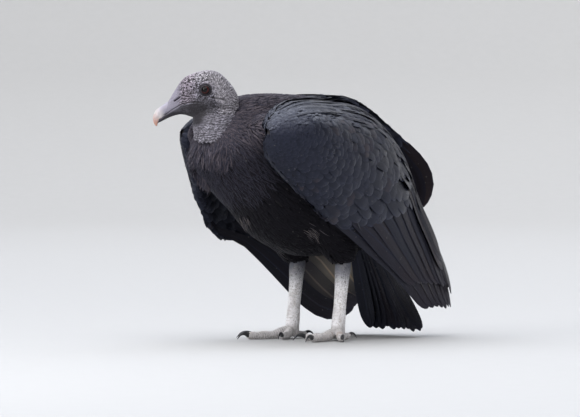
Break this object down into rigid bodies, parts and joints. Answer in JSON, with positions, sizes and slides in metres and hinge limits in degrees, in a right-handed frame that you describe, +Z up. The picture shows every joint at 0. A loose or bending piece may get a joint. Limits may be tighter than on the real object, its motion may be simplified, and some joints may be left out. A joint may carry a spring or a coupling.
{
  "type": "black vulture",
  "caption": "Life-size black vulture standing still, head turned to its right, wings let down beside its tail.",
  "frame": {"origin": "middle of the bird's bounding box at floor level, on the ground it stands on", "axes": "+Z up, -Y the way the breast faces, +X the bird's left side"},
  "size_m": [0.2334, 0.4006, 0.322],
  "materials": {
    "plumage": "matte black contour feathers with a faint blue and violet sheen",
    "flight_feather": "satin black flight feathers, some worn to brown",
    "bare_skin": "bare wrinkled grey skin",
    "bill_skin": "smooth dark grey bill sheath",
    "horn": "pale horn, semi-gloss",
    "eye": "wet, glossy dark brown",
    "leg_skin": "whitish grey scaled skin",
    "claw": "black horn, semi-gloss"
  },
  "bodies": {
    "root": {"head": "bare_skin", "neck": "bare_skin", "bill_upper": "horn", "bill_lower": "bill_skin", "eye_left": "eye", "eye_right": "eye", "trunk": "plumage", "tail": "flight_feather", "wing_left": "plumage", "tertials_left": "flight_feather", "secondaries_left": "flight_feather", "primaries_left": "flight_feather", "thigh_left": "plumage", "tarsus_left": "leg_skin", "toe_inner_left": "leg_skin", "claw_inner_left": "claw", "toe_middle_left": "leg_skin", "claw_middle_left": "claw", "toe_outer_left": "leg_skin", "claw_outer_left": "claw", "toe_hind_left": "leg_skin", "claw_hind_left": "claw", "wing_right": "plumage", "tertials_right": "flight_feather", "secondaries_right": "flight_feather", "primaries_right": "flight_feather", "thigh_right": "plumage", "tarsus_right": "leg_skin", "toe_inner_right": "leg_skin", "claw_inner_right": "claw", "toe_middle_right": "leg_skin", "claw_middle_right": "claw", "toe_outer_right": "leg_skin", "claw_outer_right": "claw", "toe_hind_right": "leg_skin", "claw_hind_right": "claw"}
  },
  "joints": []
}
